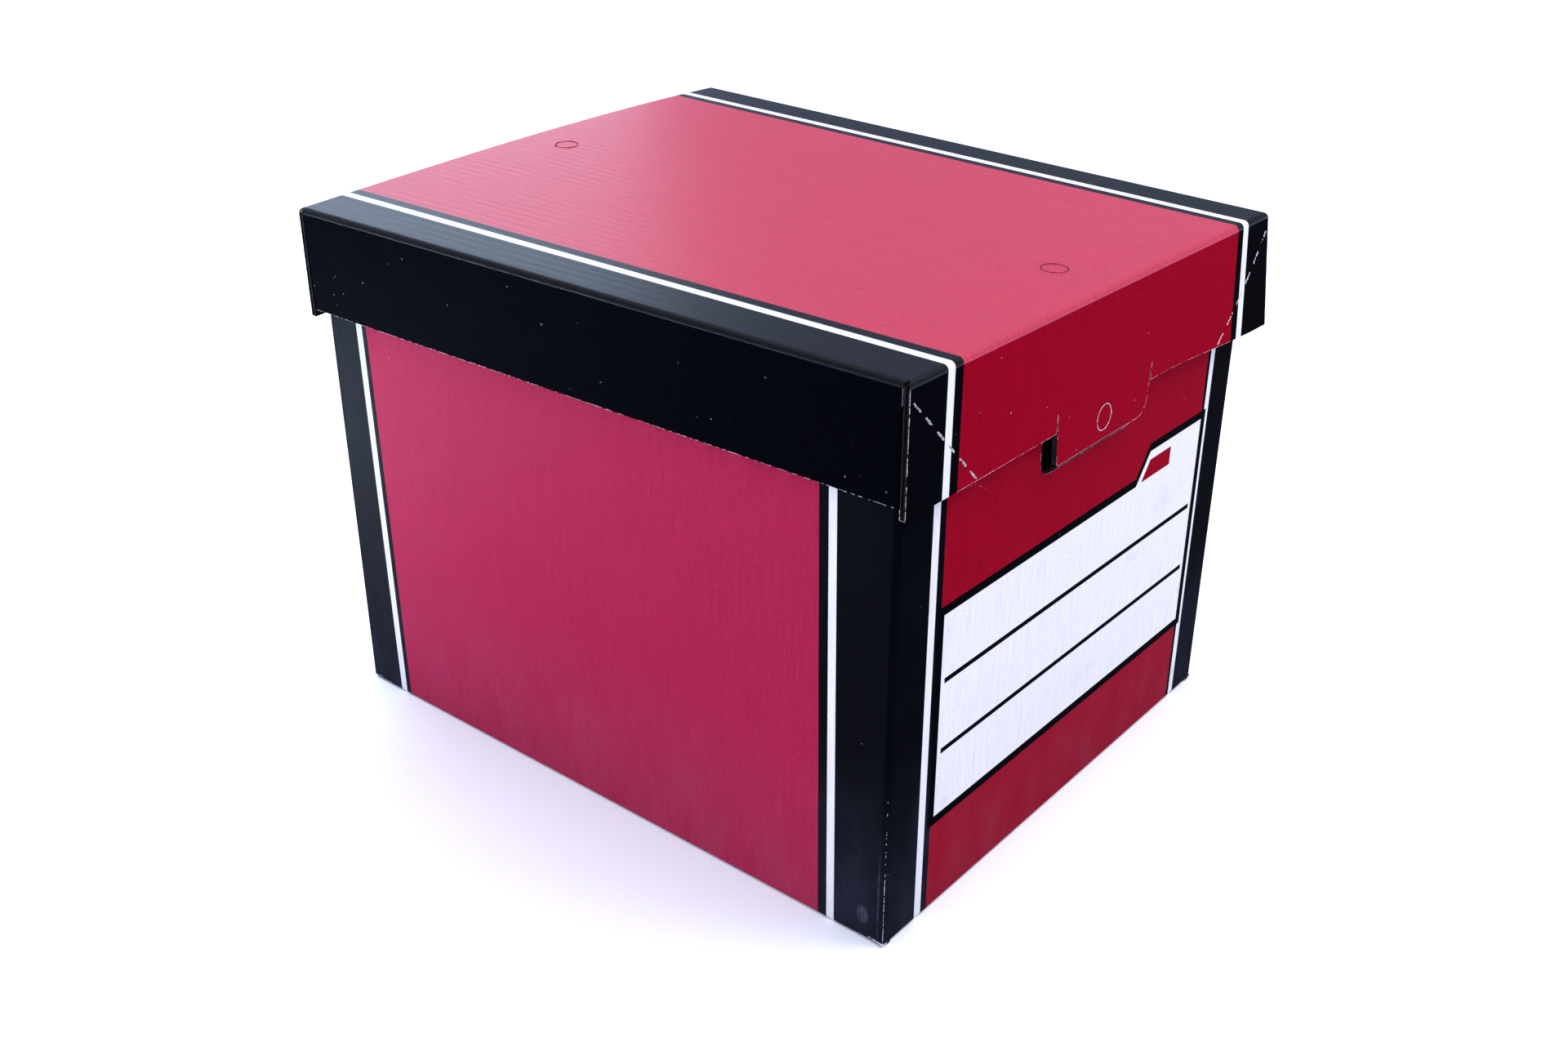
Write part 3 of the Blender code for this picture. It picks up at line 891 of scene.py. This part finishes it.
# The bottom
# Two long flaps hook into each other on the floor. Two end flaps step up onto them, and their
# corners are glued down. The white liner faces the floor and the brown one faces in.
end_bottom_depth = 0.130
end_bottom_flat_start = 0.004
upper_layer = board + seam
step_end = corner_notch - 0.001
glue_corner_play = 0.001
kraft_bottom = paper_finish("brown_bottom_liner", *brown, "y")
white_bottom = paper_finish("white_bottom_liner", (0.80, 0.80, 0.84), (0.60, 0.59, 0.62), "y")


def hooked_edge():
    """The free edge of a long flap: it hooks round the same edge of the other flap."""
    half = [(-0.030, corner_notch - half_length, 0), (-0.030, -0.014, 0.005), (-0.008, -0.030, 0.005)]
    middle = half + [(-x, -y, radius) for x, y, radius in reversed(half)]
    inward = beside([(x, y) for x, y, _ in middle], seam)
    return [(*place, radius) for place, (_, _, radius) in zip(inward, middle)]


for hand, turn, side in (("left", face_down, -1), ("right", face_down_turned, 1)):
    start = -(half_width - bend)
    end = half_length - corner_notch
    outline = rounded([*hooked_edge(), (start, end, 0), (start, -end, 0)])
    panel = board_panel(outline, [], stand(turn, (0, 0, 0)), white_bottom, kraft_bottom, False)
    line = round_fold((-(half_width - fold_radius), fold_radius), 2 * quarter)
    strip = bent_strip(line, 1, (-end, end), side_print, kraft_upright, side=side)
    make_piece(f"{hand}_hooked_flap", [panel, strip], "box_body", f"{hand}_bottom_flap")

# An end flap is drawn for the label end with its outer face up, then turned over onto the floor.
for end, turn, side in both_ends:
    half = half_width - end_bottom_inset
    wall = -half_length

    def shaped(point):
        share = (point.y - wall - end_bottom_flat_start) / (step_end - end_bottom_flat_start)
        return Vector((point.x, point.y, point.z - upper_layer * min(1, max(0, share))))

    far = end_bottom_depth
    outline = [
        (-half, wall + bend), (half, wall + bend), (half, wall + corner_notch),
        (half - (far - corner_notch), wall + far), (-half + (far - corner_notch), wall + far),
        (-half, wall + corner_notch),
    ]
    creases = [((0, wall + s), (0, 1)) for s in (end_bottom_flat_start, step_end)]
    panel = board_panel(outline, [], Matrix(), white_bottom, kraft_bottom, True, creases, shaped)
    panel.transform(Matrix.Diagonal((1, 1, -1, 1)))
    panel.flip_normals()
    if side > 0:
        panel.transform(Matrix.Rotation(half_turn, 4, "Z"))
    line = round_fold((wall + fold_radius, fold_radius), 2 * quarter)
    print_side = end_print if side > 0 else label_end_print
    strip = bent_strip(line, 0, (-half, half), print_side, kraft_upright, side=side)
    node = f"{end}_end_bottom_flap"
    make_piece(f"{end}_end_stepped_flap", [panel, strip], "box_body", node)

for end, turn in (("label", face_down), ("rear", face_down_turned)):
    outer = half_width - board - glue_corner_play
    crease = half_width - end_bottom_inset + corner_notch + seam * math.sqrt(2)
    tip = half_length - end_bottom_depth
    outline = rounded(
        [
            (-outer, half_length - (crease - outer), 0.0015), (-outer, tip, 0.008),
            (-(crease - end_bottom_depth), tip, 0.0015),
        ]
    )
    panel = board_panel(outline, [], stand(turn, (0, 0, upper_layer)), white_bottom, kraft_bottom)
    make_piece(f"{end}_end_glued_corner", [panel], "box_body", f"{end}_end_glue_corner")

# The lid's top
# The lid is one sheet too, with its flutes along the length. The top carries two tie holes, each
# still closed by a disc that was cut but not pushed out.
lid_side_play = 0.003
lid_end_play = 0.0007
lid_width = body_width + 2 * (board + lid_side_play)
lid_length = body_length + 2 * (2 * board + seam + lid_end_play)
lid_x = lid_width / 2
lid_y = lid_length / 2
tie_hole_radius = 0.007
tie_hole_from_end = 0.035
tie_hole_steps = 24
side_flap_depth = 0.0582
end_flap_depth = 0.063
side_flap_end = lid_y - board - seam
# The lid's copy of the crimson ink, brighter and pinker where light falls on the top; the side flaps share
# it. Painted light.
crimson_lit_on_top = (0.42, 0.034, 0.066)


def lid_inks(red):
    low = (-0.1443, -0.1390, -0.1325)
    high = (0.1470, 0.1410, 0.1346)
    return lambda finish: corner_inks(finish, "x", red, low, high)


lid_print = printed("lid_top_print", "x", lid_inks(crimson_lit_on_top), 1.20, 0.40)
lid_side_print = printed("lid_side_print", "z", lid_inks(crimson_lit_on_top), 1.02)
kraft_lid = paper_finish("brown_lid_liner", *brown, "x")


def ease(share):
    share = min(1, max(0, share))
    return share * share * (3 - 2 * share)


def sprung(point):
    """The lid has sprung with use. Its rear right corner stands up from the body, and its near
    right corner leans out at the foot. Round the rear lock tab it stays true, so that it swings."""
    x, y, z = point
    across = min(1, max(0, x / lid_width + 0.5))
    along = min(1, max(0, y / lid_length + 0.5))
    down = (overall_height - z) / end_flap_depth
    lift = (0.001 + 0.016 * math.sin(quarter * across)) * along
    true = 1 - ease((abs(x) - 0.056) / 0.100) if along > 0.97 else 0
    lift *= 1 - true * (1 - ease((z - 0.258) / 0.032))
    lean = ease((x - 0.055) / 0.117) * down * (1 - along) ** 3
    return Vector((x + 0.005 * lean, y - 0.0050 * lean, z + lift - 0.003 * lean))


def ring(centre, radius):
    return arc(centre, radius, 0, 2 * half_turn, tie_hole_steps)[:-1]


def lid_fold(line, axis, halves):
    reaches = [(-half, half) for half in halves]
    return bent_strip(line, axis, reaches, lid_print, kraft_lid, cut=lid_print)


hole_y = lid_y - tie_hole_from_end
flat_x = lid_x - bend
flat_y = lid_y - bend
outline = [(-flat_x, -flat_y), (flat_x, -flat_y), (flat_x, flat_y), (-flat_x, flat_y)]
holes = [ring((0, side * hole_y), tie_hole_radius) for side in (-1, 1)]
top_place = stand(face_up, (0, 0, overall_height))
meshes = [board_panel(outline, holes, top_place, lid_print, kraft_lid)]
fold_z = overall_height - fold_radius
for side, first in ((-1, quarter), (1, 0)):
    line = round_fold((side * (lid_x - fold_radius), fold_z), first)
    ends = [lid_y - fold_radius] * 4 + [side_flap_end] * (len(line) - 4)
    if side > 0:
        ends.reverse()
    meshes.append(lid_fold(line, 1, ends))
    line = round_fold((side * (lid_y - fold_radius), fold_z), first)
    spread = [lid_x - fold_radius + max(0, abs(y) - (lid_y - fold_radius)) for y, _ in line]
    meshes.append(lid_fold(line, 0, spread))
# The rims round the discs are dark red fibre: painted shade in the gaps.
meshes.append(torn([closed(hole) for hole in holes], 3, top_place, 0.34, 0.00042, fibre=shaded_torn_fibre))
make_piece("lid_top", meshes, "lid", "lid_top_panel", sprung)

for end, turn, side in both_ends:
    outline = ring((0, side * hole_y), tie_hole_radius - seam)
    disc = board_panel(outline, [], top_place, lid_print, kraft_lid)
    node = f"lid_top_{end}_end_disc"
    make_piece(f"lid_top_{end}_end_push_out", [disc], "lid", node, sprung)

# The lid's sides
# Each side flap hangs down a long edge. Its ends fold round into corner tabs, which are glued
# behind the end flaps.
corner_tab_inset = 0.003
mitre_below_top = 0.007
tab_start = mitre_below_top + corner_tab_inset * math.sqrt(2)
for name, turn, side, seed in (("left", face_left, -1, 4), ("right", face_right, 1, 5)):
    end = side_flap_end - bend
    raw = side_flap_end - foot_clear
    outline = [
        (-end, -side_flap_depth), (end, -side_flap_depth), (end, -tab_start), (raw, -tab_start),
        (raw, -bend), (-raw, -bend), (-raw, -tab_start), (-end, -tab_start),
    ]
    place = stand(turn, (side * lid_x, 0, overall_height))
    meshes = [board_panel(outline, [], place, lid_side_print, kraft_lid, False)]
    meshes.append(torn([[(-raw, -side_flap_depth), (raw, -side_flap_depth)]], seed, place, 0.47, 0.00014))
    make_piece(f"lid_{name}_side_flap", meshes, "lid", f"lid_{name}_flap", sprung)

tab_tip = lid_x - (side_flap_depth - tab_start)
for end, turn, y_side in both_ends:
    for order, side in (("first", -1), ("second", 1)):
        outline = rounded(
            [
                (side * (lid_x - bend), -side_flap_depth, 0),
                (side * tab_tip, -side_flap_depth, 0.003),
                (side * (lid_x - bend), -tab_start - bend, 0),
            ]
        )
        place = stand(turn, (0, y_side * side_flap_end, overall_height))
        panel = board_panel(outline, [], place, lid_side_print, kraft_lid, False)
        x_side = side * -y_side
        first = {(-1, -1): 2, (1, -1): 3, (1, 1): 0, (-1, 1): 1}[(x_side, y_side)] * quarter
        centre = (x_side * (lid_x - fold_radius), y_side * (side_flap_end - fold_radius))
        line = round_fold(centre, first)
        low = overall_height - side_flap_depth
        reaches = [(low, overall_height - tab_start - (lid_x - abs(x))) for x, _ in line]
        strip = bent_strip(line, 2, reaches, lid_side_print, kraft_lid, cut=lid_side_print)
        node = f"lid_{end}_end_{order}_corner_tab"
        make_piece(f"lid_{end}_end_{order}_glued_tab", [panel, strip], "lid", node, sprung)

# The lid's ends and lock tabs
# Each end flap is creased at 45 degrees by a row of cuts at both corners. Two slits free a lock
# tab, which swings into the hand hole behind it. Its lower corners are one square and one round.
lock_tab_width = 0.094
lock_tab_length = 0.028
lock_tab_taper = 0.0024
slit_width = 0.0006
slit_height = 0.010
crease_height = overall_height - end_flap_depth + slit_height
tie_hole_above_foot = 0.012
mitre_dashes = 6
mitre_dash_length = 0.0076
mitre_dash_width = 0.0006
mitre_edge_margin = 0.004
crease_room = 0.0016
crease_gap = 0.00005
crease_skin = 0.00025
crease_bead = 0.0011
bead_side_gap = 0.0002
# The end flaps' inner liner is painted near black beyond 158 mm from the middle: painted shade where it
# shows behind the corner folds.
kraft_flap = paper_finish("brown_flap_liner_with_painted_shade", *brown, "x", painted_shade_from=0.158)
# The lid's end flaps take the ends' deeper copy of the crimson: painted shade.
end_flap_print = printed("lid_end_print", "x", lid_inks(crimson_shaded_on_ends), 1.02)


def mitre_slits(side):
    """The cuts of one perforated mitre crease, from near the top corner to the flap's edge."""
    run = end_flap_depth - mitre_below_top - mitre_edge_margin
    along = Vector((-side, -1)).normalized()
    across = Vector((-along.y, along.x)) * mitre_dash_width / 2
    start = Vector((side * lid_x, -mitre_below_top)) + along * mitre_edge_margin
    pitch = (run * math.sqrt(2) - mitre_dash_length) / (mitre_dashes - 1)
    slits = []
    for dash in range(mitre_dashes):
        near = start + along * pitch * dash
        far = near + along * mitre_dash_length
        slits.append([tuple(p) for p in (near - across, far - across, far + across, near + across)])
    return slits


for (end, turn, side), seed in zip(both_ends, (6, 8)):
    slot = lock_tab_width / 2 + slit_width
    slot_top = slit_height - end_flap_depth
    room_top = slot_top + crease_room
    outline = [
        (-lid_x, -end_flap_depth), (-slot, -end_flap_depth), (-slot, room_top), (slot, room_top),
        (slot, -end_flap_depth), (lid_x, -end_flap_depth), (lid_x, -bend), (-lid_x, -bend),
    ]
    slits = mitre_slits(-1) + mitre_slits(1)
    place = stand(turn, (0, side * lid_y, overall_height))
    # The end flap's cut edges are near black: ink, and with it painted shade.
    dark = (inked_and_shaded_edge, inked_and_shaded_edge)
    meshes = [board_panel(outline, slits, place, end_flap_print, kraft_flap, edge=dark)]
    foot = crease_height + crease_gap
    top = crease_height + crease_room
    for edge, front in (
        ([(-lid_y, top), (-lid_y, foot)], end_flap_print),
        ([(board - lid_y, foot), (board - lid_y, top)], kraft_lid),
    ):
        meshes.append(bent_strip(edge, 0, (-slot, slot), front, raw_edge, crease_skin, end_flap_print, side))
    low = -end_flap_depth
    inky = 0.133
    curl = [(-lid_x, low + 0.007, -board), (-lid_x, low, -board), (-lid_x, low, 0), (-lid_x, low + 0.012, 0)]
    for line, missing, fibre in (
        ([(-inky, low), (-slot, low), (-slot, slot_top)], 0.44, torn_pink),
        ([(-inky, low), (-0.085, low)], 0.20, torn_pink),
        ([(slot, slot_top), (slot, low), (inky, low)], 0.44, torn_pink),
        ([(-lid_x, -bend), (-lid_x, low)], 0.44, torn_fibre),
        ([(lid_x, -bend), (lid_x, low)], 0.44, torn_fibre), (curl, 0.40, torn_fibre),
    ):
        meshes.append(torn([line], seed, place, missing, fibre=fibre))
    meshes.append(torn([closed(slit) for slit in slits], seed + 1, place, 0.42, 0.00032, 0.0008))
    node = f"lid_{end}_end_flap"
    make_piece(f"lid_{end}_end_skirt", meshes, "lid", node, sprung)

for (end, turn, side), seed in zip(both_ends, (10, 12)):
    name = f"{end}_end_lock_tab"
    half = lock_tab_width / 2
    foot = half - lock_tab_taper
    outline = rounded(
        [
            (-half, -crease_gap, 0), (-foot, -lock_tab_length, 0.0012),
            (foot, -lock_tab_length, 0.009), (half, -crease_gap, 0),
        ]
    )
    hole_height = tie_hole_above_foot - lock_tab_length
    hole = ring((0, hole_height), tie_hole_radius)
    place = stand(turn, (0, side * lid_y, crease_height))
    # The tab's cut edges are painted dark: painted shade, with ink.
    edge = (shaded_torn_fibre, inked_and_shaded_edge)
    meshes = [board_panel(outline, [hole], place, end_flap_print, kraft_lid, edge=edge)]
    bead = bmesh.new()
    bmesh.ops.create_cone(
        bead,
        cap_ends=True,
        segments=16,
        radius1=crease_bead,
        radius2=crease_bead,
        depth=lock_tab_width - 2 * bead_side_gap,
        matrix=Matrix.Translation((0, side * (lid_y - board / 2), crease_height))
        @ Matrix.Rotation(quarter, 4, "Y"),
    )
    crease = bpy.data.meshes.new("crease")
    bead.to_mesh(crease)
    bead.free()
    crease.materials.append(end_flap_print)
    meshes.append(crease)
    meshes.append(torn([closed(hole)], seed, place, 0.30, 0.00034))
    meshes.append(torn([outline], seed + 1, place, 0.44, fibre=torn_pink))
    meshes.append(torn([outline[1:9]], seed + 2, place, 0.15, fibre=torn_pink))
    make_piece(name + "_flap", meshes, name, name)
    outline = ring((0, hole_height), tie_hole_radius - seam)
    disc = board_panel(outline, [], place, end_flap_print, kraft_lid, edge=edge)
    make_piece(name + "_push_out", [disc], name, name + "_disc")

# The floor and the light
# A pale studio floor under a broad diffuser, with a softbox at the front right. A second one
# stands low behind the box, for the sheen on the lid, and a third brightens the floor behind.
floor_reach = 60.0
floor_drop = Matrix.Translation((0, 0, -0.0002))
floor_mesh = bpy.data.meshes.new("floor")
plane = bmesh.new()
bmesh.ops.create_grid(plane, x_segments=1, y_segments=1, size=floor_reach, matrix=floor_drop)
plane.to_mesh(floor_mesh)
plane.free()
floor = put_in_scene("floor", floor_mesh)
floor_finish = Finish("pale_floor", 0.9, 0.1)
tint = floor_finish.mix((0.86, 0.87, 0.90), (0.90, 0.90, 0.92), floor_finish.noise(0.8, 2))
floor_mesh.materials.append(floor_finish.colour(tint))
floor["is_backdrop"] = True

world = bpy.data.worlds.new("studio")
world.use_nodes = True
bpy.context.scene.world = world
world.node_tree.nodes["Background"].inputs["Color"].default_value = (0.42, 0.50, 0.78, 1)


def softbox(name, place, aim, width, height, power, colour=(1, 1, 1), spread=180):
    lamp = bpy.data.lights.new(name, "AREA")
    lamp.shape = "RECTANGLE"
    lamp.size = width
    lamp.size_y = height
    lamp.energy = power
    lamp.color = colour
    lamp.spread = math.radians(spread)
    lit = put_in_scene(name, lamp)
    lit.location = place
    lit.rotation_euler = (Vector(aim) - Vector(place)).to_track_quat("-Z", "Y").to_euler()


softbox("front_softbox", (0.50, -0.90, 1.40), (0, 0, 0.2), 0.8, 0.8, 11)
softbox("left_softbox", (-1.20, -0.15, 0.28), (0, 0, 0.0), 0.8, 0.5, 2.8)
softbox("back_softbox", (0.44, 1.55, 0.50), (-0.1, 0.1, 0.3), 1.6, 0.5, 18, (0.70, 0.90, 1.12))
softbox("floor_softbox", (-0.46, 0.66, 0.80), (-0.46, 0.66, 0), 0.4, 0.4, 15, (0.75, 0.95, 1.25), 52)
dome = bpy.data.lights.new("overhead_diffuser", "SUN")
dome.energy = 2.7
dome.angle = math.radians(100)
put_in_scene("overhead_diffuser", dome)

# The view
# The camera stands to the left of the label end, a little above the lid, where the photograph
# was taken from. Its place is the one that puts the box's corners on the photographed ones.
picture_width = 1920
focal_pixels = 1952.3
sensor_width = 36
camera_place = Vector((-0.6749, -0.5531, 0.5381))
camera_target = Vector((-0.0598, -0.0498, 0.150))
camera_roll = math.radians(0.24)

lens = bpy.data.cameras.new("camera")
lens.sensor_width = sensor_width
lens.lens = focal_pixels * sensor_width / picture_width
lens.clip_start = 0.01
camera = put_in_scene("camera", lens)
aimed = (camera_target - camera_place).to_track_quat("-Z", "Y").to_matrix().to_4x4()
camera.matrix_world = Matrix.Translation(camera_place) @ aimed @ Matrix.Rotation(camera_roll, 4, "Z")
bpy.context.scene.camera = camera
bpy.context.scene.view_settings.view_transform = "Standard"

low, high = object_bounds()
